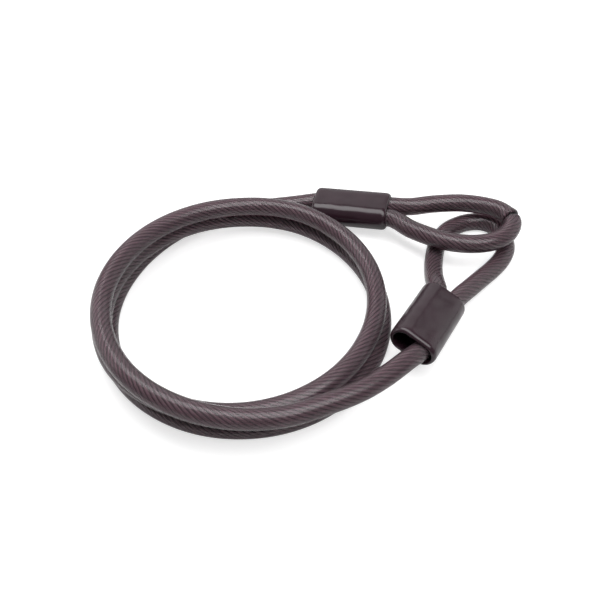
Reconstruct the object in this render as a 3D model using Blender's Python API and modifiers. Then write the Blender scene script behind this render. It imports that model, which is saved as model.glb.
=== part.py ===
"""Looped security cable: one sheathed wire rope, coiled, with a crimped eye at each end."""
import math

import bmesh
import bpy
import numpy as np
from mathutils import Matrix, Vector

# ---- driving dimensions, in metres ------------------------------------------
ROPE_DIAMETER = 0.008           # bare steel wire rope
ROPE_CLEARANCE = 0.00035        # rope to sheath bore, and rope to ferrule bore
SHEATH_WALL = 0.00165           # PVC round the rope
SEAT_GAP = 0.0003               # between faces that meet
SIDE_GAP = 0.0006               # between the two legs of an eye

FERRULE_LENGTH = 0.028
COVER_LENGTH = 0.052
COVER_WALL = 0.0023
COVER_OVERHANG = 0.004          # cover past the ferrule on the eye side
COVER_ROUNDING = 0.0016
FERRULE_ROUNDING = 0.0008
TAIL_OVERHANG = 0.0015          # cut rope end past the ferrule
LEG_STRAIGHT = 0.006            # an eye's leg runs straight out of its ferrule

FLOOR_CUT = 0.1                 # share of the cable's diameter pressed flat on the floor
REST_HEIGHT = 0.0048            # centre height of the cable where it lies on the floor

# ---- places are given from the coil's centre on the floor --------------------
COIL_CENTRE = (-0.0483, -0.0071, 0.0)   # seen from the middle of the whole object's footprint

# ---- where the two covers lie: centre of the mouth, heading and rise --------
COVER_A_MOUTH = (0.0471, 0.0951, 0.0093)
COVER_A_HEADING = math.radians(-14.3)
COVER_A_RISE = math.radians(6.0)
COVER_A_ROLL = math.radians(0.0)
COVER_B_MOUTH = (0.0999, -0.0391, 0.0206)
COVER_B_HEADING = math.radians(60.0)
COVER_B_RISE = math.radians(-9.0)
COVER_B_ROLL = math.radians(18.0)

# ---- the coil: one station each twelfth of a turn, clockwise from above -----
COIL_START = math.radians(303.7)     # direction of the first station
STATIONS_A_TURN = 12
LOOP_POINTS = 24
COIL_STATIONS = (                    # radius and centre height, in millimetres
    (93.5, 23.5), (89.5, 26.5), (87.0, 30.5), (83.0, 30.5), (79.0, 30.5), (74.5, 30.5),
    (73.5, 28.0), (77.0, 24.0), (82.0, 21.5), (84.5, 18.0), (83.5, 17.0), (81.0, 16.5),
    (80.0, 17.0), (80.5, 17.5), (82.0, 18.0), (83.5, 17.5), (81.5, 17.5), (78.0, 17.5),
    (77.0, 15.5), (80.0, 11.0), (84.0, 8.0), (86.5, 5.0), (87.0, 4.8), (86.5, 4.8),
    (84.5, 4.8), (82.0, 4.8), (81.0, 4.8), (81.0, 4.8), (81.0, 4.8), (82.0, 4.8),
    (86.5, 5.5), (94.0, 6.5),
)
LEAD_B_POINTS = (                    # from cover B's mouth to the first station
    (97.2, -47.1, 20.7), (84.3, -58.5, 21.5), (69.5, -69.0, 22.3),
)
LEAD_A_POINTS = (                    # from the last station to cover A's mouth
    (12.5, 95.0, 7.5), (30.0, 96.5, 8.5),
)

# ---- the eyes: points chosen along each loop, in millimetres ----------------
# Across the floor they are given from the mouth of the eye's cover, and upward from the floor.
EYE_POINT_SPACING = 0.0075
EYE_A_POINTS = (                     # from the near leg round the tip to the far leg
    (55.9, -23.6, 15.5), (63.4, -32.1, 16.5), (75.9, -40.6, 17.5), (86.4, -45.6, 18.0),
    (101.4, -47.6, 18.0), (115.9, -45.1, 18.0), (125.9, -38.1, 18.0), (131.4, -27.1, 18.0),
    (127.4, -17.1, 18.0), (117.4, -11.1, 18.0), (99.9, -7.6, 18.0), (80.9, -8.1, 17.5),
    (65.4, -9.6, 16.5),
)
EYE_B_POINTS = (                     # from the right leg round the tip to the left leg
    (37.1, 49.6, 9.5), (44.1, 57.1, 8.0), (52.6, 66.1, 6.5), (62.1, 76.1, 5.0),
    (69.6, 85.1, 4.8), (74.6, 95.1, 4.8), (75.1, 106.1, 4.8), (72.1, 116.1, 4.8),
    (64.1, 121.6, 4.8), (54.1, 121.6, 4.8), (45.1, 118.1, 4.8), (36.6, 111.6, 4.8),
    (29.1, 99.1, 4.8), (24.6, 82.1, 5.5), (22.6, 67.6, 8.5), (22.1, 58.6, 11.5),
)

# ---- sizes that follow -------------------------------------------------------
CABLE_DIAMETER = ROPE_DIAMETER + 2 * (ROPE_CLEARANCE + SHEATH_WALL)   # 12 mm over the PVC
CABLE_RADIUS = CABLE_DIAMETER / 2
ROPE_RADIUS = ROPE_DIAMETER / 2
LEG_OFFSET = CABLE_RADIUS + SIDE_GAP / 2
CAVITY_RADIUS = CABLE_RADIUS + SEAT_GAP
COVER_RADIUS = CAVITY_RADIUS + COVER_WALL
BORE_RADIUS = ROPE_RADIUS + ROPE_CLEARANCE
COIL_SIDES_RESOLUTION = 1
EYE_SIDES_RESOLUTION = 2
EYE_SIDES = 4 + 2 * EYE_SIDES_RESOLUTION   # how many sides that resolution gives a tube
EYE_BORE_RADIUS = BORE_RADIUS / math.cos(math.pi / EYE_SIDES)   # flats clear the rope's corners
ROUND_SIDES = 32
COVER_ROUNDING_STEPS = 3
FERRULE_ROUNDING_STEPS = 2
CURVE_PIECES = 16                    # pieces of each span of a smooth curve
CUT_PAST = 0.002                     # cutters reach this far past what they cut
FLOOR_HEIGHT = REST_HEIGHT - CABLE_RADIUS + FLOOR_CUT * CABLE_DIAMETER
SHARP_ANGLE = 40                     # degrees between faces that keep an edge
BEVELLED_ANGLE = 50                  # degrees between faces that get rounded
WELD_DISTANCE = 0.00001
MILLIMETRE = 0.001
FINE_STEP = 0.001                    # spacing of the points that gaps are measured on
NEIGHBOUR_REACH = 4 * CABLE_DIAMETER  # nearer than this along the route is the same bend


def clear_scene():
    for item in list(bpy.data.objects):
        bpy.data.objects.remove(item, do_unlink=True)


def new_collection(name):
    collection = bpy.data.collections.new(name)
    bpy.context.scene.collection.children.link(collection)
    return collection


def make_material(name, colour, roughness, metallic=0.0):
    material = bpy.data.materials.new(name)
    material.use_nodes = True
    shader = material.node_tree.nodes["Principled BSDF"]
    shader.inputs["Base Color"].default_value = (*colour, 1.0)
    shader.inputs["Roughness"].default_value = roughness
    shader.inputs["Metallic"].default_value = metallic
    material.diffuse_color = (*colour, 1.0)
    return material


# ---- routes ------------------------------------------------------------------
def smooth_curve(points, pieces, comes_from=None, goes_to=None):
    """Catmull-Rom curve through the points, each span divided into the given pieces."""
    if comes_from is None:
        comes_from = 2 * points[0] - points[1]
        goes_to = 2 * points[-1] - points[-2]
    knots = [comes_from, *points, goes_to]
    curve = []
    for before, start, end, after in zip(knots, knots[1:], knots[2:], knots[3:]):
        for step in range(pieces):
            t = step / pieces
            linear = (end - before) * t
            square = (2 * before - 5 * start + 4 * end - after) * t ** 2
            cube = (3 * start - before - 3 * end + after) * t ** 3
            curve.append(start + (linear + square + cube) / 2)
    curve.append(points[-1])
    return curve


def spaced(points, spacing):
    """Points about one spacing apart along the straight runs between the given points."""
    corners = np.array(points)
    steps = np.linalg.norm(np.diff(corners, axis=0), axis=1)
    along = np.concatenate([[0.0], np.cumsum(steps)])
    count = max(2, round(along[-1] / spacing) + 1)
    wanted = np.linspace(0.0, along[-1], count)
    columns = [np.interp(wanted, along, corners[:, axis]) for axis in range(3)]
    return list(np.column_stack(columns))


def metres(points):
    return [np.array(point) * MILLIMETRE for point in points]


class Cover:
    """Place of one cover with its ferrule: x along the cable, y across the two legs."""

    def __init__(self, mouth, heading, rise, roll):
        self.below_mouth = np.array((mouth[0], mouth[1], 0.0))
        lie = Matrix.Rotation(heading, 4, "Z") @ Matrix.Rotation(-rise, 4, "Y")
        self.place = Matrix.Translation(mouth) @ lie @ Matrix.Rotation(roll, 4, "X")
        self.ferrule_end = COVER_LENGTH - COVER_OVERHANG
        self.ferrule_start = self.ferrule_end - FERRULE_LENGTH

    def point(self, along, side):
        return np.array(self.place @ Vector((along, side * LEG_OFFSET, 0.0)))


def coil_points(cover_a, cover_b, side_a, side_b):
    """The coil and its leads from ferrule B to ferrule A, straight out of each ferrule."""
    stations = metres(COIL_STATIONS)
    pieces = LOOP_POINTS // STATIONS_A_TURN
    turns = []
    for index, (radius, height) in enumerate(smooth_curve(stations, pieces)):
        angle = COIL_START - index * 2 * math.pi / LOOP_POINTS
        turns.append(np.array([radius * math.cos(angle), radius * math.sin(angle), height]))
    start = cover_b.ferrule_start - SEAT_GAP
    end = cover_a.ferrule_start - SEAT_GAP
    head = [cover_b.point(start, side_b), cover_b.point(start - CABLE_DIAMETER, side_b)]
    foot = [cover_a.point(end - CABLE_DIAMETER, side_a), cover_a.point(end, side_a)]
    return [*head, *metres(LEAD_B_POINTS), *turns, *metres(LEAD_A_POINTS), *foot]


def eye_points(cover, points, side):
    """One eye, from the leg on the given side round to the leg on the other side."""
    face = cover.ferrule_end + SEAT_GAP
    start, end = cover.point(face, side), cover.point(face, -side)
    leg_out = cover.point(face + LEG_STRAIGHT, side)
    leg_back = cover.point(face + LEG_STRAIGHT, -side)
    loop = [cover.below_mouth + point for point in metres(points)]
    bend = smooth_curve([leg_out, *loop, leg_back], CURVE_PIECES, start, end)
    return [start, *spaced(bend, EYE_POINT_SPACING), end]


def least_gap(name, points, diameter):
    """Print the least gap between stretches of one route that are not neighbours."""
    fine = np.array(spaced(points, FINE_STEP))
    apart = np.linalg.norm(fine[:, None] - fine[None, :], axis=2)
    index = np.arange(len(fine))
    neighbours = np.abs(index[:, None] - index[None, :]) < NEIGHBOUR_REACH / FINE_STEP
    gap = apart[~neighbours].min() - diameter
    print(f"{name}: least gap to itself {gap / MILLIMETRE:.2f} mm")


def route_length(points):
    return sum(float(np.linalg.norm(b - a)) for a, b in zip(points, points[1:]))


# ---- solids ------------------------------------------------------------------
def move_to(item, collection):
    for holder in list(item.users_collection):
        holder.objects.unlink(item)
    collection.objects.link(item)


def mesh_from(curve_object, name, collection):
    """Turn a curve object into a closed mesh object and remove the curve."""
    graph = bpy.context.evaluated_depsgraph_get()
    mesh = bpy.data.meshes.new_from_object(curve_object.evaluated_get(graph))
    solid = bmesh.new()
    solid.from_mesh(mesh)
    bmesh.ops.remove_doubles(solid, verts=solid.verts, dist=WELD_DISTANCE)
    bmesh.ops.recalc_face_normals(solid, faces=solid.faces)
    solid.to_mesh(mesh)
    solid.free()
    mesh.name = name
    item = bpy.data.objects.new(name, mesh)
    collection.objects.link(item)
    item.matrix_world = curve_object.matrix_world.copy()
    bpy.data.objects.remove(curve_object, do_unlink=True)
    return item


def tube(name, points, radius, resolution, collection):
    curve = bpy.data.curves.new(name + "_route", "CURVE")
    curve.dimensions = "3D"
    curve.twist_mode = "Z_UP"
    curve.bevel_depth = radius
    curve.bevel_resolution = resolution
    curve.use_fill_caps = True
    spline = curve.splines.new("POLY")
    spline.points.add(len(points) - 1)
    for knot, point in zip(spline.points, points):
        knot.co = (*point, 1.0)
    item = bpy.data.objects.new(name + "_route", curve)
    collection.objects.link(item)
    bpy.context.view_layer.update()
    return mesh_from(item, name, collection)


def stadium_prism(name, half_width, radius, start, end, collection):
    """A bar of rounded-slot section along x, from start to end."""
    curve = bpy.data.curves.new(name + "_outline", "CURVE")
    curve.dimensions = "2D"
    curve.fill_mode = "BOTH"
    curve.extrude = (end - start) / 2
    spline = curve.splines.new("POLY")
    half = ROUND_SIDES // 2
    outline = []
    for centre, first in ((half_width, -math.pi / 2), (-half_width, math.pi / 2)):
        for step in range(half + 1):
            angle = first + math.pi * step / half
            outline.append((centre + radius * math.cos(angle), radius * math.sin(angle)))
    spline.points.add(len(outline) - 1)
    for knot, (across, up) in zip(spline.points, outline):
        knot.co = (across, up, 0.0, 1.0)
    spline.use_cyclic_u = True
    item = bpy.data.objects.new(name + "_outline", curve)
    collection.objects.link(item)
    upright = Matrix(((0, 0, 1, (start + end) / 2), (1, 0, 0, 0), (0, 1, 0, 0), (0, 0, 0, 1)))
    item.matrix_world = upright
    bpy.context.view_layer.update()
    prism = mesh_from(item, name, collection)
    prism.data.transform(prism.matrix_world)
    prism.matrix_world = Matrix.Identity(4)
    return prism


def subtract(item, cutter):
    cutter.display_type = "WIRE"
    cutter.hide_render = True
    cut = item.modifiers.new("cut_" + cutter.name, "BOOLEAN")
    cut.operation = "DIFFERENCE"
    cut.solver = "EXACT"
    cut.object = cutter


def round_ends(item, width, segments):
    bevel = item.modifiers.new("rounded_ends", "BEVEL")
    bevel.width = width
    bevel.segments = segments
    bevel.limit_method = "ANGLE"
    bevel.angle_limit = math.radians(BEVELLED_ANGLE)


def extended(points, extra):
    """The same route with both ends carried straight on."""
    first = points[0] + (points[0] - points[1]) / np.linalg.norm(points[0] - points[1]) * extra
    last = points[-1] + (points[-1] - points[-2]) / np.linalg.norm(points[-1] - points[-2]) * extra
    return [first, *points[1:-1], last]


def make_sheath(name, points, resolution, bore, floor, parts, cutters, material):
    """A length of PVC sheath, bored for the rope and pressed flat where it stands."""
    sheath = tube(name, points, CABLE_RADIUS, resolution, parts)
    sheath.data.materials.append(material)
    channel = tube(name + "_bore", extended(points, CUT_PAST), bore, resolution, cutters)
    subtract(sheath, channel)
    subtract(sheath, floor)
    return sheath


def make_cover(name, cover, parts, cutters, material):
    shell = stadium_prism(name, LEG_OFFSET, COVER_RADIUS, 0.0, COVER_LENGTH, parts)
    shell.data.materials.append(material)
    round_ends(shell, COVER_ROUNDING, COVER_ROUNDING_STEPS)
    cavity = stadium_prism(name + "_cavity", LEG_OFFSET, CAVITY_RADIUS,
                           -CUT_PAST, COVER_LENGTH + CUT_PAST, cutters)
    subtract(shell, cavity)
    shell.matrix_world = cover.place
    cavity.matrix_world = cover.place
    return shell


def make_ferrule(name, cover, parts, cutters, material):
    ferrule = stadium_prism(name, LEG_OFFSET, CABLE_RADIUS,
                            cover.ferrule_start, cover.ferrule_end, parts)
    ferrule.data.materials.append(material)
    round_ends(ferrule, FERRULE_ROUNDING, FERRULE_ROUNDING_STEPS)
    for label, side in (("left", 1), ("right", -1)):
        bpy.ops.mesh.primitive_cylinder_add(
            vertices=ROUND_SIDES, radius=BORE_RADIUS, depth=FERRULE_LENGTH + 2 * CUT_PAST)
        bore = bpy.context.active_object
        bore.name = f"{name}_bore_{label}"
        move_to(bore, cutters)
        middle = (cover.ferrule_start + cover.ferrule_end) / 2
        lie = Matrix.Translation((middle, side * LEG_OFFSET, 0.0)) @ Matrix.Rotation(math.pi / 2, 4, "Y")
        bore.matrix_world = cover.place @ lie
        subtract(ferrule, bore)
    ferrule.matrix_world = cover.place
    return ferrule


def make_floor(route, cutters):
    """The block under the whole route that presses the lowest turns flat."""
    size = 2 * (np.abs(route).max() + CABLE_DIAMETER)
    bpy.ops.mesh.primitive_cube_add(size=size)
    floor = bpy.context.active_object
    floor.name = "floor_plane"
    move_to(floor, cutters)
    floor.data.transform(Matrix.Translation((0.0, 0.0, FLOOR_HEIGHT - size / 2)))
    return floor


def smooth_by_angle(item):
    item.data.shade_smooth()
    item.data.set_sharp_from_angle(angle=math.radians(SHARP_ANGLE))


def main():
    clear_scene()
    parts = new_collection("cable_lock")
    cutters = new_collection("cutters")
    pvc = make_material("smoked_pvc", colour=(0.085, 0.065, 0.07), roughness=0.28)
    steel = make_material("galvanised_wire_rope", colour=(0.42, 0.42, 0.43), roughness=0.4, metallic=1.0)
    aluminium = make_material("aluminium_ferrule", colour=(0.62, 0.63, 0.64), roughness=0.35, metallic=1.0)
    vinyl = make_material("black_vinyl_cover", colour=(0.018, 0.016, 0.018), roughness=0.22)

    cover_a = Cover(COVER_A_MOUTH, COVER_A_HEADING, COVER_A_RISE, COVER_A_ROLL)
    cover_b = Cover(COVER_B_MOUTH, COVER_B_HEADING, COVER_B_RISE, COVER_B_ROLL)
    far, near = 1, -1                # legs of eye A
    left, right = 1, -1              # legs of eye B

    coil = coil_points(cover_a, cover_b, far, right)
    eye_a = eye_points(cover_a, EYE_A_POINTS, near)
    eye_b = eye_points(cover_b, EYE_B_POINTS, right)
    tail_a = cover_a.point(cover_a.ferrule_start - TAIL_OVERHANG, near)
    tail_b = cover_b.point(cover_b.ferrule_start - TAIL_OVERHANG, left)
    rope_route = [tail_a, *eye_a, *reversed(coil), *eye_b, tail_b]

    least_gap("coil", coil, CABLE_DIAMETER)
    least_gap("eye A", eye_a, CABLE_DIAMETER)
    least_gap("eye B", eye_b, CABLE_DIAMETER)
    print(f"coil {route_length(coil):.3f} m, eyes {route_length(eye_a):.3f} m and "
          f"{route_length(eye_b):.3f} m, whole rope {route_length(rope_route):.3f} m")

    floor = make_floor(rope_route, cutters)
    make_sheath("coil_sheath", coil, COIL_SIDES_RESOLUTION, BORE_RADIUS,
                floor, parts, cutters, pvc)
    make_sheath("eye_a_sheath", eye_a, EYE_SIDES_RESOLUTION, EYE_BORE_RADIUS,
                floor, parts, cutters, pvc)
    make_sheath("eye_b_sheath", eye_b, EYE_SIDES_RESOLUTION, EYE_BORE_RADIUS,
                floor, parts, cutters, pvc)
    rope = tube("wire_rope", rope_route, ROPE_RADIUS, COIL_SIDES_RESOLUTION, parts)
    rope.data.materials.append(steel)
    for label, cover in (("a", cover_a), ("b", cover_b)):
        make_ferrule(f"ferrule_{label}", cover, parts, cutters, aluminium)
        make_cover(f"cover_{label}", cover, parts, cutters, vinyl)
    coil_centre = bpy.data.objects.new("coil_centre", None)
    coil_centre.location = COIL_CENTRE
    parts.objects.link(coil_centre)
    for item in [*parts.objects, *cutters.objects]:
        if item.type == "MESH":
            item.parent = coil_centre
    for item in parts.objects:
        if item.type == "MESH":
            smooth_by_angle(item)


main()
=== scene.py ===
# %% [markdown]
# # A looped security cable
#
# The object is one steel wire rope in a smoked clear sheath. It lies in a loose coil, and each
# end is folded back into an eye, pressed in a ferrule and hidden by a moulded oval cover. This
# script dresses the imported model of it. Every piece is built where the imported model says, so
# nothing has to be fitted afterwards. All lengths are in metres.

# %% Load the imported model
import math

import bmesh
import bpy
import numpy as np
from mathutils import Matrix, Vector


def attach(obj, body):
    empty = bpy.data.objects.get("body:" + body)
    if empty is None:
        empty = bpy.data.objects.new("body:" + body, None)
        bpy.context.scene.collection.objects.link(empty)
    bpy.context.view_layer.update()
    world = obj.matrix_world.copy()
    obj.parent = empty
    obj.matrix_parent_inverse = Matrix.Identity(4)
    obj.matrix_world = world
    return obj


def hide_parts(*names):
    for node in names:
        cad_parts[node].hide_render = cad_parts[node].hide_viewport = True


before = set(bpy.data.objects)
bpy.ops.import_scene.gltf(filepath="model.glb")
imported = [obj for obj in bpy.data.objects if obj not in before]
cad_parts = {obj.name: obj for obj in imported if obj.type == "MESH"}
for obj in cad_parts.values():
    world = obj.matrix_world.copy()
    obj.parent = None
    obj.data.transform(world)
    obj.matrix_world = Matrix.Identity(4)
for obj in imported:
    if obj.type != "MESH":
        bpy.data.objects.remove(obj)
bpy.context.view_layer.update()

# %% [markdown]
# ## The camera
#
# The picture was taken from the front, looking down at almost fifty degrees. The camera's place,
# its pitch and a focal length in pixels come from a least-squares fit to the coil in the
# picture, made by another program. It puts the camera 45 cm away, which is probably a little too
# close. The focal length turns into a lens length by way of the 36 mm sensor. The camera comes
# first because the cable has to lie inside what it sees.

# %% Camera
COIL_CENTRE = Vector((-0.0483, -0.0071, 0.0))
CAMERA_FROM_COIL = Vector((0.0366, -0.2853, 0.3457))
CAMERA_PITCH = 0.8556
FOCAL_PIXELS = 717.0
IMAGE_PIXELS = 600
SENSOR_MM = 36.0
CLIP_START = 0.01               # nearer than the default, as the whole object is small

camera_data = bpy.data.cameras.new("camera")
camera_data.sensor_width = SENSOR_MM
camera_data.lens = FOCAL_PIXELS / IMAGE_PIXELS * SENSOR_MM
camera_data.clip_start = CLIP_START
camera = bpy.data.objects.new("camera", camera_data)
bpy.context.scene.collection.objects.link(camera)
camera.location = COIL_CENTRE + CAMERA_FROM_COIL
camera.rotation_euler = (math.pi / 2 - CAMERA_PITCH, 0.0, 0.0)
bpy.context.scene.camera = camera
print("lens:", round(camera_data.lens, 2), "mm")

# %% [markdown]
# ## The sizes that the pieces share
#
# The sheath, the rope and the covers all take their size from these few values. They are the
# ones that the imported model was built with, apart from the sheath's bore, which is 8.7 mm wide
# there and 6.6 mm here. The cell on the sheath says why.

# %% Sizes
CABLE_RADIUS = 0.006            # over the sheath
ROPE_RADIUS = 0.004             # bare steel rope
RIB_DEPTH = 0.0007              # how far a strand stands out of the furrows beside it
SEAT_GAP = 0.0003               # between faces that meet
SIDE_GAP = 0.0006               # between the two legs of an eye
FERRULE_LENGTH = 0.028
COVER_LENGTH = 0.052
COVER_WALL = 0.0023
COVER_OVERHANG = 0.004          # cover past the ferrule on the eye's side
TAIL_OVERHANG = 0.0015          # cut rope end past the ferrule
LEG_STRAIGHT = 0.006            # an eye's leg runs straight out of its ferrule

CABLE_DIAMETER = 2 * CABLE_RADIUS
BORE_RADIUS = ROPE_RADIUS - RIB_DEPTH       # down to the bottom of the furrows
LEG_OFFSET = CABLE_RADIUS + SIDE_GAP / 2    # from a cover's axis to each leg's axis
COVER_CAVITY = CABLE_RADIUS + SEAT_GAP
COVER_RADIUS = COVER_CAVITY + COVER_WALL
print("sheath", CABLE_DIAMETER, "m across, its bore", round(2 * BORE_RADIUS, 4))
print("cover", round(2 * (LEG_OFFSET + COVER_RADIUS), 4), "by", round(2 * COVER_RADIUS, 4))

# %% [markdown]
# ## The two places where the cable is pressed
#
# A cover has its own small frame: x runs along the cable, y across the two legs of the eye.
# One matrix for each cover gives its place. Everything built at that end, such as the legs and the cut
# tail of the rope, is placed through the same matrix.

# %% Cover frames
COVER_POSES = {                 # mouth, then heading, rise and roll in degrees
    "a": ((0.0471, 0.0951, 0.0093), -14.3, 6.0, 0.0),
    "b": ((0.0999, -0.0391, 0.0206), 60.0, -9.0, 18.0),
}
FERRULE_END = COVER_LENGTH - COVER_OVERHANG
FERRULE_START = FERRULE_END - FERRULE_LENGTH


def cover_frame(mouth, heading, rise, roll):
    turn = Matrix.Rotation(math.radians(heading), 4, "Z")
    tilt = Matrix.Rotation(math.radians(-rise), 4, "Y")
    spin = Matrix.Rotation(math.radians(roll), 4, "X")
    return Matrix.Translation(COIL_CENTRE + Vector(mouth)) @ turn @ tilt @ spin


COVER_FRAMES = {end: cover_frame(*pose) for end, pose in COVER_POSES.items()}
for end, place in COVER_FRAMES.items():
    print("mouth of cover", end, "at", [round(value, 4) for value in place.translation])


def leg_point(end, along, side):
    return np.array(COVER_FRAMES[end] @ Vector((along, side * LEG_OFFSET, 0.0)))


# %% [markdown]
# ## The route of the cable
#
# A real coil of stiff cable is never a perfect spiral. Its turns slide off each other where
# they cross. So the coil is given as stations, twelve to a turn: how far out the cable is, and
# how high. Only the direction of each station is worked out, because it steps round evenly.
# A smooth curve through the points then bends as a cable does.
#
# The coil's stations were not chosen by hand. Another program fitted them to the picture by least
# squares, keeping the turns clear of each other. They were then rounded to half a millimetre, and some
# heights were changed. A formula, with a pitch, a drift and the places where the turns cross, would be
# easier to read and to change, and is the better way. The points of the eyes and leads were listed from
# the picture, given a height by judgement, carried to their place through the camera, and adjusted. All
# of them repeat the imported model's points, because a cord has to lie exactly where its solids lie.

# %% Route points
COIL_START = math.radians(303.7)
STATIONS_A_TURN = 12
COIL_STATIONS = (               # radius and centre height
    (0.0935, 0.0235), (0.0895, 0.0265), (0.0870, 0.0305), (0.0830, 0.0305),
    (0.0790, 0.0305), (0.0745, 0.0305), (0.0735, 0.0280), (0.0770, 0.0240),
    (0.0820, 0.0215), (0.0845, 0.0180), (0.0835, 0.0170), (0.0810, 0.0165),
    (0.0800, 0.0170), (0.0805, 0.0175), (0.0820, 0.0180), (0.0835, 0.0175),
    (0.0815, 0.0175), (0.0780, 0.0175), (0.0770, 0.0155), (0.0800, 0.0110),
    (0.0840, 0.0080), (0.0865, 0.0050), (0.0870, 0.0048), (0.0865, 0.0048),
    (0.0845, 0.0048), (0.0820, 0.0048), (0.0810, 0.0048), (0.0810, 0.0048),
    (0.0810, 0.0048), (0.0820, 0.0048), (0.0865, 0.0055), (0.0940, 0.0065),
)
LEAD_B_POINTS = ((0.0972, -0.0471, 0.0207), (0.0843, -0.0585, 0.0215), (0.0695, -0.0690, 0.0223))
LEAD_A_POINTS = ((0.0125, 0.0950, 0.0075), (0.0300, 0.0965, 0.0085))
EYE_A_POINTS = (                # each eye from below its cover's mouth, on the floor
    (0.0559, -0.0236, 0.0155), (0.0634, -0.0321, 0.0165), (0.0759, -0.0406, 0.0175),
    (0.0864, -0.0456, 0.0180), (0.1014, -0.0476, 0.0180), (0.1159, -0.0451, 0.0180),
    (0.1259, -0.0381, 0.0180), (0.1314, -0.0271, 0.0180), (0.1274, -0.0171, 0.0180),
    (0.1174, -0.0111, 0.0180), (0.0999, -0.0076, 0.0180), (0.0809, -0.0081, 0.0175),
    (0.0654, -0.0096, 0.0165),
)
EYE_B_POINTS = (
    (0.0371, 0.0496, 0.0095), (0.0441, 0.0571, 0.0080), (0.0526, 0.0661, 0.0065),
    (0.0621, 0.0761, 0.0050), (0.0696, 0.0851, 0.0048), (0.0746, 0.0951, 0.0048),
    (0.0751, 0.1061, 0.0048), (0.0721, 0.1161, 0.0048), (0.0641, 0.1216, 0.0048),
    (0.0541, 0.1216, 0.0048), (0.0451, 0.1181, 0.0048), (0.0366, 0.1116, 0.0048),
    (0.0291, 0.0991, 0.0048), (0.0246, 0.0821, 0.0055), (0.0226, 0.0676, 0.0085),
    (0.0221, 0.0586, 0.0115),
)
print(len(COIL_STATIONS), "stations,", len(EYE_A_POINTS), "and", len(EYE_B_POINTS), "points on the eyes")

# %% [markdown]
# A Catmull-Rom curve goes through every point that it is given, where a plain spline only comes
# near them. It is then cut into equal steps, so that the mesh and the pattern on it keep one
# scale all along the cable.

# %% Smooth curves
def smooth_curve(points, pieces, comes_from=None, goes_to=None):
    points = [np.array(point, dtype=float) for point in points]
    if comes_from is None:
        comes_from = 2 * points[0] - points[1]
        goes_to = 2 * points[-1] - points[-2]
    knots = [comes_from, *points, goes_to]
    curve = []
    for before, start, end, after in zip(knots, knots[1:], knots[2:], knots[3:]):
        for step in range(pieces):
            t = step / pieces
            linear = (end - before) * t
            square = (2 * before - 5 * start + 4 * end - after) * t ** 2
            cube = (3 * start - before - 3 * end + after) * t ** 3
            curve.append(start + (linear + square + cube) / 2)
    curve.append(points[-1])
    return curve


def spaced(points, spacing):
    corners = np.array(points)
    steps = np.linalg.norm(np.diff(corners, axis=0), axis=1)
    along = np.concatenate([[0.0], np.cumsum(steps)])
    wanted = np.linspace(0.0, along[-1], max(2, round(along[-1] / spacing) + 1))
    return np.column_stack([np.interp(wanted, along, corners[:, axis]) for axis in range(3)])


def placed(points):
    return [np.array(point) + np.array(COIL_CENTRE) for point in points]


def route_length(points):
    return float(np.linalg.norm(np.diff(points, axis=0), axis=1).sum())


# %% [markdown]
# ## The three lengths of sheath
#
# The sheath is stripped inside each ferrule, so there are three lengths of it: the coil and the
# two eyes. The coil comes straight out of ferrule b, runs through its lead, the stations and the
# other lead, and goes straight into ferrule a. An eye leaves its ferrule along one leg and comes
# back along the other. Points 2 mm apart are enough, except where the crease has to be drawn.

# %% Routes of the coil and the eyes
PIECES_A_STATION = 2
CURVE_PIECES = 12
RING_SPACING = 0.002
FOLDED_SPACING = 0.0005         # close enough to draw the crease in eye a
BELOW_MOUTH = (1, 1, 0)         # keeps a mouth's place across the floor and drops its height


def coil_route():
    turns = []
    stations = smooth_curve(COIL_STATIONS, PIECES_A_STATION)
    for index, (radius, height) in enumerate(stations):
        angle = COIL_START - index * math.tau / (STATIONS_A_TURN * PIECES_A_STATION)
        turns.append((radius * math.cos(angle), radius * math.sin(angle), height))
    end = FERRULE_START - SEAT_GAP
    head = [leg_point("b", end, -1), leg_point("b", end - CABLE_DIAMETER, -1)]
    foot = [leg_point("a", end - CABLE_DIAMETER, 1), leg_point("a", end, 1)]
    middle = [head[1], *placed([*LEAD_B_POINTS, *turns, *LEAD_A_POINTS]), foot[0]]
    bend = smooth_curve(middle, CURVE_PIECES, head[0], foot[1])
    return spaced([head[0], *bend, foot[1]], RING_SPACING)


def eye_route(end, points, side, spacing):
    face = FERRULE_END + SEAT_GAP
    start, finish = leg_point(end, face, side), leg_point(end, face, -side)
    leg_out = leg_point(end, face + LEG_STRAIGHT, side)
    leg_back = leg_point(end, face + LEG_STRAIGHT, -side)
    mouth = np.array(COVER_POSES[end][0]) * BELOW_MOUTH
    loop = placed([mouth + np.array(point) for point in points])
    bend = smooth_curve([leg_out, *loop, leg_back], CURVE_PIECES, start, finish)
    return spaced([start, *bend, finish], spacing)


coil = coil_route()
eye_a = eye_route("a", EYE_A_POINTS, -1, FOLDED_SPACING)
eye_b = eye_route("b", EYE_B_POINTS, -1, RING_SPACING)
for name, route in (("coil", coil), ("eye a", eye_a), ("eye b", eye_b)):
    print(name, "is", round(route_length(route), 3), "m long, in", len(route), "points")


# %% [markdown]
# ## The sheath
#
# The sheath is extruded PVC, a thick-walled tube. A curve with a bevel would make the outside
# in one line, but it has no wall and no map of its surface. Here the rings are placed one by one
# along the route instead, each turned as little as possible from the one before, so the tube
# has its bore, its cut ends and a map: along the cable in one direction, once round it in the
# other. Where it rests, its underside is cut flat on the floor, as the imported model's is.
#
# The bore is only as wide as the rope is at the bottom of its furrows, so the strands stand in
# the wall and the two meshes overlap there. This is for the picture: with the wider bore, the
# air round the rope mirrors the inside of the wall and hides the strands. A real sheath may fill
# the furrows like this, but that is a guess. At the tip of eye a the tight bend has made the
# wall buckle: one sharp crease across the top, with a low swelling behind it.

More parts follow.
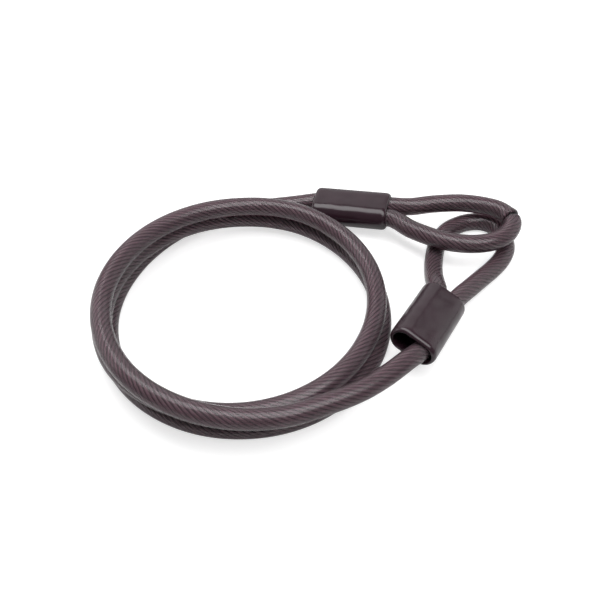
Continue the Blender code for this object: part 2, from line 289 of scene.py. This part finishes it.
# %% Rings along a route
SHEATH_SIDES = 40
CREASE_PLACE = 0.1090           # along eye a
CREASE_DEPTH = 0.0017
CREASE_WIDTH = 0.0013
SWELLING = 0.0006
SWELLING_PLACE = 0.0024         # behind the crease
SWELLING_WIDTH = 0.0020
CREASE_SPREAD = 1.4             # above 1, it keeps its full depth some way round from the top
MARK_SPREAD = 2.0               # above 1, the painted crease shade is full before the bottom is reached


def carried_frames(points):
    """A tangent, a side and an up vector at each point, carried along without twisting."""
    tangents = np.gradient(points, axis=0)
    tangents /= np.linalg.norm(tangents, axis=1)[:, None]
    up = np.array((0.0, 0.0, 1.0))
    frames = []
    for tangent in tangents:
        up = up - tangent * up.dot(tangent)
        up /= np.linalg.norm(up)
        frames.append((tangent, np.cross(up, tangent), up))
    return frames


def crease(along, rise):
    """How far the outside moves out, and how deep in the crease it lies, from 0 to 1, which sets the
    painted shade.

    Rise is 1 on top of the cable and -1 underneath, where the crease runs out."""
    past = along - CREASE_PLACE
    fade = (1 + rise) / 2
    folded = max(0.0, 1 - abs(past) / CREASE_WIDTH) * min(1.0, CREASE_SPREAD * fade)
    swelling = SWELLING * math.exp(-((past - SWELLING_PLACE) / SWELLING_WIDTH) ** 2) * fade
    return swelling - CREASE_DEPTH * folded, min(1.0, MARK_SPREAD * folded)


def no_crease(along, rise):
    return 0.0, 0.0


def tube_rings(points, radius, buckle):
    """Every ring's corners and how deep in the crease each lies, for the painted shade. None goes below
    the floor.
    """
    steps = np.linalg.norm(np.diff(points, axis=0), axis=1)
    lengths = np.concatenate([[0.0], np.cumsum(steps)])
    rings = []
    for point, along, (_, side, up) in zip(points, lengths, carried_frames(points)):
        ring = []
        for index in range(SHEATH_SIDES):
            angle = math.tau * index / SHEATH_SIDES
            out, folded = buckle(along, math.sin(angle))
            spot = point + (radius + out) * (math.cos(angle) * side + math.sin(angle) * up)
            ring.append(((spot[0], spot[1], max(spot[2], 0.0)), folded))
        rings.append(ring)
    return rings, lengths


# %% [markdown]
# The rings become two skins, the outside and the bore, joined by a flat ring at each cut end.
# The mesh carries two things for its material: the map, in metres along the cable and in turns round it,
# and a mark on each corner that says how deep in the crease it lies, where shade is painted. Each eye is
# formed and held at both ends.

# %% Sheath mesh
LAY_MAP = "lay"
CREASE_SHADE_MARK = "folded"               # how much shade is painted: 1 at the bottom of the crease, 0 where there is none


def sheath_mesh(name, points, buckle=no_crease):
    shape = bmesh.new()
    lay = shape.loops.layers.uv.new(LAY_MAP)
    crease_shade_mark = shape.verts.layers.float.new(CREASE_SHADE_MARK)
    outside, lengths = tube_rings(points, CABLE_RADIUS, buckle)
    bore, _ = tube_rings(points, BORE_RADIUS, no_crease)
    walls = []
    for rings in (outside, bore):
        walls.append([[shape.verts.new(spot) for spot, _ in ring] for ring in rings])
        for made_ring, ring in zip(walls[-1], rings):
            for corner, (_, folded) in zip(made_ring, ring):
                corner[crease_shade_mark] = folded
    for rings in walls:
        for row in range(len(rings) - 1):
            for index in range(SHEATH_SIDES):
                after = (index + 1) % SHEATH_SIDES
                face = shape.faces.new((rings[row][index], rings[row][after],
                                        rings[row + 1][after], rings[row + 1][index]))
                face.smooth = True
                marks = ((row, index), (row, index + 1), (row + 1, index + 1), (row + 1, index))
                for loop, (ring, place) in zip(face.loops, marks):
                    loop[lay].uv = (lengths[ring], place / SHEATH_SIDES)
    for end in (0, -1):
        for index in range(SHEATH_SIDES):
            after = (index + 1) % SHEATH_SIDES
            shape.faces.new((walls[0][end][index], walls[1][end][index],
                             walls[1][end][after], walls[0][end][after]))
    bmesh.ops.recalc_face_normals(shape, faces=shape.faces)
    mesh = bpy.data.meshes.new(name)
    shape.to_mesh(mesh)
    shape.free()
    made = bpy.data.objects.new(name, mesh)
    bpy.context.scene.collection.objects.link(made)
    return made


sheaths = {
    "coil_sheath": sheath_mesh("sheath_on_coil", coil),
    "eye_a_sheath": sheath_mesh("sheath_on_eye_a", eye_a, crease),
    "eye_b_sheath": sheath_mesh("sheath_on_eye_b", eye_b),
}
for node_name, piece in sheaths.items():
    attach(piece, "root")
    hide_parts(node_name)
    print(piece.name, len(piece.data.polygons), "faces")


# %% [markdown]
# ## The wire rope
#
# Inside the sheath runs a laid rope. How it is made can't be seen, but ten strands with a lay of
# 42 mm give the lines that show through the sheath. Each strand could be a tube of its own, but
# only its outer side ever shows. So the rope is one section with a rib for each strand, swept
# along the route and turned steadily as it goes. That is a rule, and Geometry Nodes make it.
#
# Two small helpers come first. One adds a node to any tree, with its settings and its links, so
# a tree reads as a list of what it does. The other turns a colour as it looks on screen into the
# values that shaders work with.

# %% Node helpers
def node(tree, kind, inputs=None, **settings):
    """Add one node. An input is a value, or another node's output to link."""
    made = tree.nodes.new(kind)
    for name, value in settings.items():
        setattr(made, name, value)
    for socket, value in (inputs or {}).items():
        if isinstance(value, bpy.types.NodeSocket):
            tree.links.new(value, made.inputs[socket])
        else:
            made.inputs[socket].default_value = value
    return made


def srgb(text):
    """A hex colour as it looks on screen, turned to the linear values that shaders use."""
    parts = [int(text[index:index + 2], 16) / 255 for index in (1, 3, 5)]
    linear = [part / 12.92 if part <= 0.04045 else ((part + 0.055) / 1.055) ** 2.4 for part in parts]
    return (*linear, 1.0)


# %% [markdown]
# The section is a circle with a few points for each strand. Those between two strands are pulled in,
# which leaves a rib for each strand. The section carries two marks, how deep a point lies between the
# strands and which of the wires' lines it is on. The sweep hands them on to the mesh, where the steel's
# material reads them to paint shade in the furrows.

# %% The rope's section
ROPE_STRANDS = 10
RIB_POINTS = 8                  # round each strand, one to a side of a wire
FURROW_POWER = 2.0              # above 1, a rib is round on top and its furrow narrow
VALLEY = "valley"               # 0 on a strand's crest, 1 between two strands
WIRE = "wire"                   # 1 on every other point of the section


def strand_section(tree, given):
    count = node(tree, "ShaderNodeMath", {0: given["Strands"], 1: RIB_POINTS}, operation="MULTIPLY")
    ring = node(tree, "GeometryNodeCurvePrimitiveCircle",
                {"Resolution": count.outputs[0], "Radius": given["Rope radius"]}).outputs["Curve"]
    index = node(tree, "GeometryNodeInputIndex").outputs["Index"]
    off_crest = node(tree, "ShaderNodeMath", {0: index, 1: RIB_POINTS / 2}, operation="PINGPONG")
    share = node(tree, "ShaderNodeMath", {0: off_crest.outputs[0], 1: RIB_POINTS / 2},
                 operation="DIVIDE")
    valley = node(tree, "ShaderNodeMath", {0: share.outputs[0], 1: FURROW_POWER},
                  operation="POWER").outputs[0]
    odd = node(tree, "ShaderNodeMath", {0: index, 1: 1.0}, operation="PINGPONG").outputs[0]
    for name, value in ((VALLEY, valley), (WIRE, odd)):
        ring = node(tree, "GeometryNodeStoreNamedAttribute",
                    {"Geometry": ring, "Name": name, "Value": value},
                    data_type="FLOAT", domain="POINT").outputs["Geometry"]
    depth = node(tree, "ShaderNodeMath", {0: given["Rib depth"], 1: given["Rope radius"]},
                 operation="DIVIDE")
    lost = node(tree, "ShaderNodeMath", {0: valley, 1: depth.outputs[0]}, operation="MULTIPLY")
    kept = node(tree, "ShaderNodeMath", {0: 1.0, 1: lost.outputs[0]}, operation="SUBTRACT")
    place = node(tree, "GeometryNodeInputPosition").outputs["Position"]
    pulled = node(tree, "ShaderNodeVectorMath", {0: place, "Scale": kept.outputs[0]}, operation="SCALE")
    return node(tree, "GeometryNodeSetPosition",
                {"Geometry": ring, "Position": pulled.outputs[0]}).outputs["Geometry"]


# %% [markdown]
# The route comes in as a line of points and becomes a curve. Its tilt grows with the distance
# along it, one full turn for each length of lay, and the section is swept along it with that
# tilt. The tree ends in real geometry with its material set, because the export keeps nothing
# else.

# %% The rope's tree
ROPE_LAY = 0.042                # length in which a strand goes once round


def material(name):
    made = bpy.data.materials.new(name)
    made.use_nodes = True
    made.node_tree.nodes.clear()
    return made


steel = material("wire_rope_steel_drawn")


def rope_tree():
    tree = bpy.data.node_groups.new("laid_rope", "GeometryNodeTree")
    for name, kind in (("Route", "NodeSocketGeometry"), ("Strands", "NodeSocketInt"),
                       ("Lay length", "NodeSocketFloat"), ("Rope radius", "NodeSocketFloat"),
                       ("Rib depth", "NodeSocketFloat")):
        tree.interface.new_socket(name, in_out="INPUT", socket_type=kind)
    tree.interface.new_socket("Rope", in_out="OUTPUT", socket_type="NodeSocketGeometry")
    given = node(tree, "NodeGroupInput").outputs
    line = node(tree, "GeometryNodeMeshToCurve", {"Mesh": given["Route"]}).outputs["Curve"]
    line = node(tree, "GeometryNodeSetCurveNormal", {"Curve": line},
                mode="MINIMUM_TWIST").outputs["Curve"]
    gone = node(tree, "GeometryNodeSplineParameter").outputs["Length"]
    turns = node(tree, "ShaderNodeMath", {0: gone, 1: given["Lay length"]}, operation="DIVIDE")
    angle = node(tree, "ShaderNodeMath", {0: turns.outputs[0], 1: math.tau}, operation="MULTIPLY")
    line = node(tree, "GeometryNodeSetCurveTilt",
                {"Curve": line, "Tilt": angle.outputs[0]}).outputs["Curve"]
    swept = node(tree, "GeometryNodeCurveToMesh",
                 {"Curve": line, "Profile Curve": strand_section(tree, given), "Fill Caps": True})
    real = node(tree, "GeometryNodeRealizeInstances", {"Geometry": swept.outputs["Mesh"]})
    painted = node(tree, "GeometryNodeSetMaterial", {"Geometry": real.outputs[0], "Material": steel})
    node(tree, "NodeGroupOutput", {"Rope": painted.outputs[0]})
    return tree


# %% [markdown]
# The rope goes through both ferrules and round both eyes. Its two cut tails stand a little way
# out of the ferrules, back to back with the cable that comes in beside them. The modifier's
# result is kept as a plain mesh.

# %% Rope piece
def line_object(name, points):
    mesh = bpy.data.meshes.new(name)
    mesh.from_pydata([tuple(point) for point in points],
                     [(index, index + 1) for index in range(len(points) - 1)], [])
    made = bpy.data.objects.new(name, mesh)
    bpy.context.scene.collection.objects.link(made)
    return made


def set_inputs(modifier, values):
    for item in modifier.node_group.interface.items_tree:
        if item.in_out == "INPUT" and item.name in values:
            modifier[item.identifier] = values[item.name]


def made_plain(name, source):
    """Keep what a modifier makes as a mesh of its own, and drop the source."""
    evaluated = source.evaluated_get(bpy.context.evaluated_depsgraph_get())
    mesh = bpy.data.meshes.new_from_object(evaluated)
    mesh.name = name
    made = bpy.data.objects.new(name, mesh)
    bpy.context.scene.collection.objects.link(made)
    bpy.data.objects.remove(source)
    return made


tail_a = leg_point("a", FERRULE_START - TAIL_OVERHANG, -1)
tail_b = leg_point("b", FERRULE_START - TAIL_OVERHANG, 1)
rope_route = spaced([tail_a, *eye_a, *coil[::-1], *eye_b, tail_b], RING_SPACING)
rope_line = line_object("rope_line", rope_route)
winding = rope_line.modifiers.new("winding", "NODES")
winding.node_group = rope_tree()
set_inputs(winding, {"Strands": ROPE_STRANDS, "Lay length": ROPE_LAY,
                     "Rope radius": ROPE_RADIUS, "Rib depth": RIB_DEPTH})
rope = made_plain("laid_wire_rope", rope_line)
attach(rope, "root")
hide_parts("wire_rope")
print("rope:", len(rope.data.polygons), "faces,", round(route_length(rope_route), 3), "m long")

# %% [markdown]
# ## The oval covers
#
# A cover is a short moulded tube of soft black vinyl, oval so that it fits round both legs. Its
# two mouths are softly rounded. One profile along its axis, swept round the oval, gives the
# outside, both lips and the bore in a single closed skin. Between the lips the wall is straight.

# %% Cover mesh
LIP_LENGTH = 0.0034             # the outside rounds over this much of the cover's length
LIP_DEPTH = 0.0021
LIP_STEPS = 8
BORE_EDGE = 0.0002              # small rounding where a lip meets the bore
BODY_STEPS = 16
ARC_STEPS = 24                  # round each end of the oval
FLAT_STEPS = 8                  # across each of its flat sides


def lip_profile():
    """One mouth, from the bore's edge round to the full outside: pairs of along and radius."""
    points = []
    for step in range(LIP_STEPS + 1):
        angle = math.pi / 2 * (1 - step / LIP_STEPS)
        points.append((LIP_LENGTH * (1 - math.sin(angle)),
                       COVER_RADIUS - LIP_DEPTH * (1 - math.cos(angle))))
    return points


def cover_profile():
    lip = lip_profile()
    far_lip = [(COVER_LENGTH - along, radius) for along, radius in reversed(lip)]
    spread = [step / BODY_STEPS for step in range(1, BODY_STEPS)]
    body = [(LIP_LENGTH + share * (COVER_LENGTH - 2 * LIP_LENGTH), COVER_RADIUS) for share in spread]
    reach = COVER_LENGTH - 2 * BORE_EDGE
    bore = [(BORE_EDGE + (1 - step / BODY_STEPS) * reach, COVER_CAVITY)
            for step in range(BODY_STEPS + 1)]
    return lip + body + far_lip + bore


def oval(radius):
    """The oval section: two round ends joined by flat sides, as pairs of across and up."""
    points = []
    for side in (1, -1):
        for step in range(ARC_STEPS):
            angle = side * math.pi / 2 - math.pi * step / ARC_STEPS
            points.append((side * LEG_OFFSET + radius * math.cos(angle), radius * math.sin(angle)))
        for step in range(FLAT_STEPS):
            share = 1 - 2 * step / FLAT_STEPS
            points.append((side * LEG_OFFSET * share, -side * radius))
    return points


def cover_mesh(name, place):
    shape = bmesh.new()
    rings = []
    for along, radius in cover_profile():
        rings.append([shape.verts.new(place @ Vector((along, across, up)))
                      for across, up in oval(radius)])
    for near, far in zip(rings, rings[1:] + rings[:1]):
        for index in range(len(near)):
            after = (index + 1) % len(near)
            shape.faces.new((near[index], near[after], far[after], far[index])).smooth = True
    bmesh.ops.recalc_face_normals(shape, faces=shape.faces)
    mesh = bpy.data.meshes.new(name)
    shape.to_mesh(mesh)
    shape.free()
    made = bpy.data.objects.new(name, mesh)
    bpy.context.scene.collection.objects.link(made)
    return made


covers = {end: cover_mesh("moulded_cover_" + end, COVER_FRAMES[end]) for end in COVER_FRAMES}
for end, piece in covers.items():
    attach(piece, "root")
    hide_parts("cover_" + end)
    print(piece.name, len(piece.data.polygons), "faces")

# %% [markdown]
# ## Smoked PVC
#
# Such a sheath is plasticised PVC with a smoke tint, extruded hot over the rope. It is clear
# but a little hazy, with the soft gloss of the die, so the strands show through it, drawn wide
# by the curve of the wall, and a broad dull light lies over them. The strands could be painted
# on the outside, but then nothing would move when one looks from another side. So the wall is
# real: the shader lets most of the light through, and a volume inside the wall takes some of
# it, more of the green and blue than of the red. The die also leaves faint lines along the
# cable, which the sheath's own map carries.

# %% Sheath material
PVC_IOR = 1.42                  # soft PVC is nearer 1.5, which draws the strands too wide
PVC_CLARITY = 0.93              # the rest is haze
PVC_ROUGHNESS = (0.2, 0.28)
PVC_CLEAR = "#CDB9C1"
PVC_CLOUDED = "#B199A3"
PVC_PAINTED_CREASE_SHADE = "#080406"          # painted shade in the crease, where the two lips shut out the light
CLOUD_WIDTH = 0.015
CLOUD_DETAIL = 3.0
SMOKE_COLOUR = "#C2A4AF"
SMOKE_DENSITY = 400.0           # per metre
DIE_LINES = 70.0                # round the cable
DIE_LINE_LENGTH = 0.04
DIE_LINE_DEPTH = 0.00004
DIE_LINE_DETAIL = 2.0
MAPPED = 1.0                    # the scale of a noise whose mapping has set its size already


def smoked_pvc():
    made = material("smoked_pvc_extruded")
    tree = made.node_tree
    place = node(tree, "ShaderNodeTexCoord").outputs["Object"]
    cloud = node(tree, "ShaderNodeTexNoise", {"Vector": place, "Scale": 1 / CLOUD_WIDTH,
                                              "Detail": CLOUD_DETAIL}).outputs["Fac"]
    tint = node(tree, "ShaderNodeMix", {"Factor": cloud, 6: srgb(PVC_CLEAR), 7: srgb(PVC_CLOUDED)},
                data_type="RGBA")
    # painted shade: the tint goes near black at the bottom of eye a's crease
    folded = node(tree, "ShaderNodeAttribute", attribute_name=CREASE_SHADE_MARK).outputs["Fac"]
    tint = node(tree, "ShaderNodeMix", {"Factor": folded, 6: tint.outputs[2], 7: srgb(PVC_PAINTED_CREASE_SHADE)},
                data_type="RGBA")
    lay = node(tree, "ShaderNodeUVMap", uv_map=LAY_MAP).outputs["UV"]
    drawn = node(tree, "ShaderNodeMapping",
                 {"Vector": lay, "Scale": (1 / DIE_LINE_LENGTH, DIE_LINES, 1.0)})
    lines = node(tree, "ShaderNodeTexNoise", {"Vector": drawn.outputs["Vector"], "Scale": MAPPED,
                                              "Detail": DIE_LINE_DETAIL})
    bump = node(tree, "ShaderNodeBump", {"Height": lines.outputs["Fac"], "Strength": 1.0,
                                         "Distance": DIE_LINE_DEPTH})
    gloss = node(tree, "ShaderNodeMapRange", {"Value": cloud, "To Min": PVC_ROUGHNESS[0],
                                              "To Max": PVC_ROUGHNESS[1]})
    skin = node(tree, "ShaderNodeBsdfPrincipled", {
        "Base Color": tint.outputs[2], "Normal": bump.outputs["Normal"],
        "Roughness": gloss.outputs["Result"], "IOR": PVC_IOR, "Transmission Weight": PVC_CLARITY})
    smoke = node(tree, "ShaderNodeVolumeAbsorption", {"Color": srgb(SMOKE_COLOUR),
                                                      "Density": SMOKE_DENSITY})
    node(tree, "ShaderNodeOutputMaterial", {"Surface": skin.outputs["BSDF"],
                                            "Volume": smoke.outputs["Volume"]})
    return made


pvc = smoked_pvc()
for piece in sheaths.values():
    piece.data.materials.append(pvc)
print("sheath:", pvc.name, "with smoke of", SMOKE_DENSITY, "per metre")

# %% [markdown]
# ## Black vinyl
#
# Such covers are injection-moulded soft PVC. These are nearly black with a warm cast. They are
# glossy, as from a polished mould, but soft vinyl is never quite flat: it carries long shallow
# waves that bend the edge of a reflection, and very fine texture that blurs it a little.

# %% Cover material
VINYL_COLOUR = "#22131A"
VINYL_WORN = "#321F28"
VINYL_IOR = 1.48
VINYL_ROUGHNESS = (0.16, 0.26)
WAVE_WIDTH = 0.014
WAVE_DEPTH = 0.0008
WAVE_DETAIL = 1.0
GRAIN_WIDTH = 0.0006            # real grain is finer, this is as fine as the picture shows
GRAIN_DEPTH = 0.00001
GRAIN_DETAIL = 2.0


def black_vinyl():
    made = material("black_vinyl_moulded")
    tree = made.node_tree
    place = node(tree, "ShaderNodeTexCoord").outputs["Object"]
    wave = node(tree, "ShaderNodeTexNoise", {"Vector": place, "Scale": 1 / WAVE_WIDTH,
                                             "Detail": WAVE_DETAIL}).outputs["Fac"]
    grain = node(tree, "ShaderNodeTexNoise", {"Vector": place, "Scale": 1 / GRAIN_WIDTH,
                                              "Detail": GRAIN_DETAIL}).outputs["Fac"]
    wave_bump = node(tree, "ShaderNodeBump", {"Height": wave, "Strength": 1.0,
                                              "Distance": WAVE_DEPTH})
    bump = node(tree, "ShaderNodeBump", {"Height": grain, "Strength": 1.0, "Distance": GRAIN_DEPTH,
                                         "Normal": wave_bump.outputs["Normal"]})
    tint = node(tree, "ShaderNodeMix", {"Factor": wave, 6: srgb(VINYL_COLOUR), 7: srgb(VINYL_WORN)},
                data_type="RGBA")
    gloss = node(tree, "ShaderNodeMapRange", {"Value": wave, "To Min": VINYL_ROUGHNESS[0],
                                              "To Max": VINYL_ROUGHNESS[1]})
    skin = node(tree, "ShaderNodeBsdfPrincipled", {
        "Base Color": tint.outputs[2], "Normal": bump.outputs["Normal"],
        "Roughness": gloss.outputs["Result"], "IOR": VINYL_IOR})
    node(tree, "ShaderNodeOutputMaterial", {"Surface": skin.outputs["BSDF"]})
    return made


vinyl = black_vinyl()
for piece in covers.values():
    piece.data.materials.append(vinyl)
print("covers:", vinyl.name)

# %% [markdown]
# ## Drawn steel
#
# The rope's wires are drawn, so they are smooth and bright, and zinc dulls them in small patches. Seen
# through the sheath, the furrows between strands are dark, and those between wires a little. That shade
# is painted: the two marks that came with the section say where both are, and the colour is darkened
# there. A metal keeps the default IOR, and its colour is what it reflects.

# %% Rope material
ZINC_DARK = "#A3989D"
ZINC_PALE = "#DCD2D7"
ZINC_PATCH = 0.0009             # as wide as the patches are
ZINC_DEPTH = 0.00002
ZINC_DETAIL = 4.0
# painted shade for the furrows between strands and between wires
FURROW_PAINTED_SHADE = "#3C3035"
WIRE_GAP_SHADE_SHARE = 0.4              # how much of the painted shade lies between two wires
STEEL_ROUGHNESS = (0.42, 0.62)


def drawn_steel(made):
    tree = made.node_tree
    place = node(tree, "ShaderNodeTexCoord").outputs["Object"]
    patch = node(tree, "ShaderNodeTexNoise", {"Vector": place, "Scale": 1 / ZINC_PATCH,
                                              "Detail": ZINC_DETAIL}).outputs["Fac"]
    zinc = node(tree, "ShaderNodeMix", {"Factor": patch, 6: srgb(ZINC_DARK), 7: srgb(ZINC_PALE)},
                data_type="RGBA")
    valley = node(tree, "ShaderNodeAttribute", attribute_name=VALLEY).outputs["Fac"]
    wire = node(tree, "ShaderNodeAttribute", attribute_name=WIRE).outputs["Fac"]
    # painted shade: full in the furrows between strands, partial between wires
    between = node(tree, "ShaderNodeMath", {0: wire, 1: WIRE_GAP_SHADE_SHARE}, operation="MULTIPLY")
    furrow = node(tree, "ShaderNodeMath", {0: valley, 1: between.outputs[0]}, operation="MAXIMUM")
    tint = node(tree, "ShaderNodeMix", {"Factor": furrow.outputs[0], 6: zinc.outputs[2],
                                        7: srgb(FURROW_PAINTED_SHADE)}, data_type="RGBA")
    rough = node(tree, "ShaderNodeMapRange", {"Value": patch, "To Min": STEEL_ROUGHNESS[0],
                                              "To Max": STEEL_ROUGHNESS[1]})
    bump = node(tree, "ShaderNodeBump", {"Height": patch, "Strength": 1.0, "Distance": ZINC_DEPTH})
    skin = node(tree, "ShaderNodeBsdfPrincipled", {
        "Base Color": tint.outputs[2], "Metallic": 1.0, "Normal": bump.outputs["Normal"],
        "Roughness": rough.outputs["Result"]})
    node(tree, "ShaderNodeOutputMaterial", {"Surface": skin.outputs["BSDF"]})


drawn_steel(steel)
print("rope:", steel.name)

# %% [markdown]
# ## Pressed aluminium
#
# No ferrule shows in the picture. Such eyes are held by one of extruded aluminium, pressed cold
# round both legs. It would be pale, with fine scuffs from the press jaws, and show only deep in
# the mouths of the covers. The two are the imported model's own solids, and only get this finish.

# %% Ferrule material
ALUMINIUM_DARK = "#9B9DA0"
ALUMINIUM_PALE = "#D2D4D6"
SCUFF_WIDTH = 0.0004
SCUFF_LENGTH = 0.003
SCUFF_DEPTH = 0.00002
SCUFF_DETAIL = 4.0
ALUMINIUM_ROUGHNESS = (0.3, 0.5)


def pressed_aluminium():
    made = material("ferrule_aluminium_pressed")
    tree = made.node_tree
    place = node(tree, "ShaderNodeTexCoord").outputs["Object"]
    drawn = node(tree, "ShaderNodeMapping", {
        "Vector": place, "Scale": (1 / SCUFF_WIDTH, 1 / SCUFF_LENGTH, 1 / SCUFF_WIDTH)})
    scuff = node(tree, "ShaderNodeTexNoise", {"Vector": drawn.outputs["Vector"], "Scale": MAPPED,
                                              "Detail": SCUFF_DETAIL}).outputs["Fac"]
    tint = node(tree, "ShaderNodeMix", {"Factor": scuff, 6: srgb(ALUMINIUM_DARK),
                                        7: srgb(ALUMINIUM_PALE)}, data_type="RGBA")
    rough = node(tree, "ShaderNodeMapRange", {"Value": scuff, "To Min": ALUMINIUM_ROUGHNESS[0],
                                              "To Max": ALUMINIUM_ROUGHNESS[1]})
    bump = node(tree, "ShaderNodeBump", {"Height": scuff, "Strength": 1.0, "Distance": SCUFF_DEPTH})
    skin = node(tree, "ShaderNodeBsdfPrincipled", {
        "Base Color": tint.outputs[2], "Metallic": 1.0, "Normal": bump.outputs["Normal"],
        "Roughness": rough.outputs["Result"]})
    node(tree, "ShaderNodeOutputMaterial", {"Surface": skin.outputs["BSDF"]})
    return made


aluminium = pressed_aluminium()
for end in COVER_FRAMES:
    ferrule = bpy.data.objects["ferrule_" + end]
    for slot in ferrule.material_slots:
        slot.material = aluminium
    print(ferrule.name, "slots:", len(ferrule.material_slots))

# %% [markdown]
# ## Floor, world and lamps
#
# The picture was taken on white, and the object throws almost no shadow. The floor is a white
# sheet. What a straight look at it lacks to be pure white is added only for the camera, for
# reflections and for light that passes through, so it doesn't light the object from below.
# The world beyond the sheet gets such a lift too. From low down, a faint grey band still shows
# at the sheet's far edge.

# %% Floor
STUDIO_FLOOR = 6.0
FLOOR_DROP = -0.0001            # keeps the paper clear of the flats pressed on the sheath
FLOOR_COLOUR = "#CCCCCC"
PAPER_ROUGHNESS = 0.9
WHITE = "#FFFFFF"
CAMERA_LIFT = 0.65              # what the camera needs on top, to see the paper as pure white
GLOSS_LIFT = 0.25               # the same for gloss and for light through glass

half = STUDIO_FLOOR / 2
floor_mesh = bpy.data.meshes.new("studio_floor")
floor_mesh.from_pydata([(-half, -half, FLOOR_DROP), (half, -half, FLOOR_DROP),
                        (half, half, FLOOR_DROP), (-half, half, FLOOR_DROP)], [], [(0, 1, 2, 3)])
floor = bpy.data.objects.new("studio_floor", floor_mesh)
bpy.context.scene.collection.objects.link(floor)
paper = material("white_paper_sweep")
paper_tree = paper.node_tree


def seen_lift(tree, for_camera, for_gloss, base):
    """A strength that is higher for the camera and for light that was reflected or let through."""
    path = node(tree, "ShaderNodeLightPath").outputs
    bounced = node(tree, "ShaderNodeMath",
                   {0: path["Is Glossy Ray"], 1: path["Is Transmission Ray"]}, operation="MAXIMUM")
    gloss = node(tree, "ShaderNodeMath", {0: bounced.outputs[0], 1: for_gloss, 2: base},
                 operation="MULTIPLY_ADD")
    both = node(tree, "ShaderNodeMath", {0: path["Is Camera Ray"], 1: for_camera, 2: gloss.outputs[0]},
                operation="MULTIPLY_ADD")
    return both.outputs[0]


lift = seen_lift(paper_tree, CAMERA_LIFT, GLOSS_LIFT, base=0.0)
sheet = node(paper_tree, "ShaderNodeBsdfPrincipled", {
    "Base Color": srgb(FLOOR_COLOUR), "Roughness": PAPER_ROUGHNESS,
    "Emission Color": srgb(WHITE), "Emission Strength": lift})
node(paper_tree, "ShaderNodeOutputMaterial", {"Surface": sheet.outputs["BSDF"]})
floor_mesh.materials.append(paper)
print("floor:", paper.name, STUDIO_FLOOR, "m across")

# %% [markdown]
# The world is dim and white. Four soft lamps do the rest: the brightest overhead, one behind and
# one on each side. A lamp's power is worked out from how bright its face is and how large, so a
# lamp can be resized without a change in how bright its face looks.

# %% World and lamps
WORLD_LEVEL = 0.15
WORLD_CAMERA_LIFT = 0.85        # together they are 1, which is white
WORLD_GLOSS_LIFT = 0.03
LAMPS = (                       # name, place, size across and deep, radiance
    ("overhead", (0.0, 0.05, 1.0), (1.8, 0.65), 4.5),
    ("behind", (0.0, 1.5, 0.75), (2.4, 1.2), 0.8),
    ("left", (-1.3, 0.4, 0.5), (1.2, 0.9), 1.2),
    ("right", (1.3, 0.4, 0.5), (1.2, 0.9), 0.9),
)

world = bpy.data.worlds.new("studio")
world.use_nodes = True
background = world.node_tree.nodes["Background"]
background.inputs["Color"].default_value = srgb(WHITE)
strength = seen_lift(world.node_tree, WORLD_CAMERA_LIFT, WORLD_GLOSS_LIFT, WORLD_LEVEL)
world.node_tree.links.new(strength, background.inputs["Strength"])
bpy.context.scene.world = world

for name, place, (across, deep), radiance in LAMPS:
    data = bpy.data.lights.new(name, "AREA")
    data.shape = "RECTANGLE"
    data.size = across
    data.size_y = deep
    data.energy = radiance * math.pi * across * deep
    lamp = bpy.data.objects.new(name, data)
    bpy.context.scene.collection.objects.link(lamp)
    lamp.location = place
    lamp.rotation_euler = (COIL_CENTRE - Vector(place)).to_track_quat("-Z", "Y").to_euler()
    lamp.visible_camera = False
    print(name, "lamp:", round(data.energy, 1), "W")
bpy.context.scene.view_settings.view_transform = "Standard"
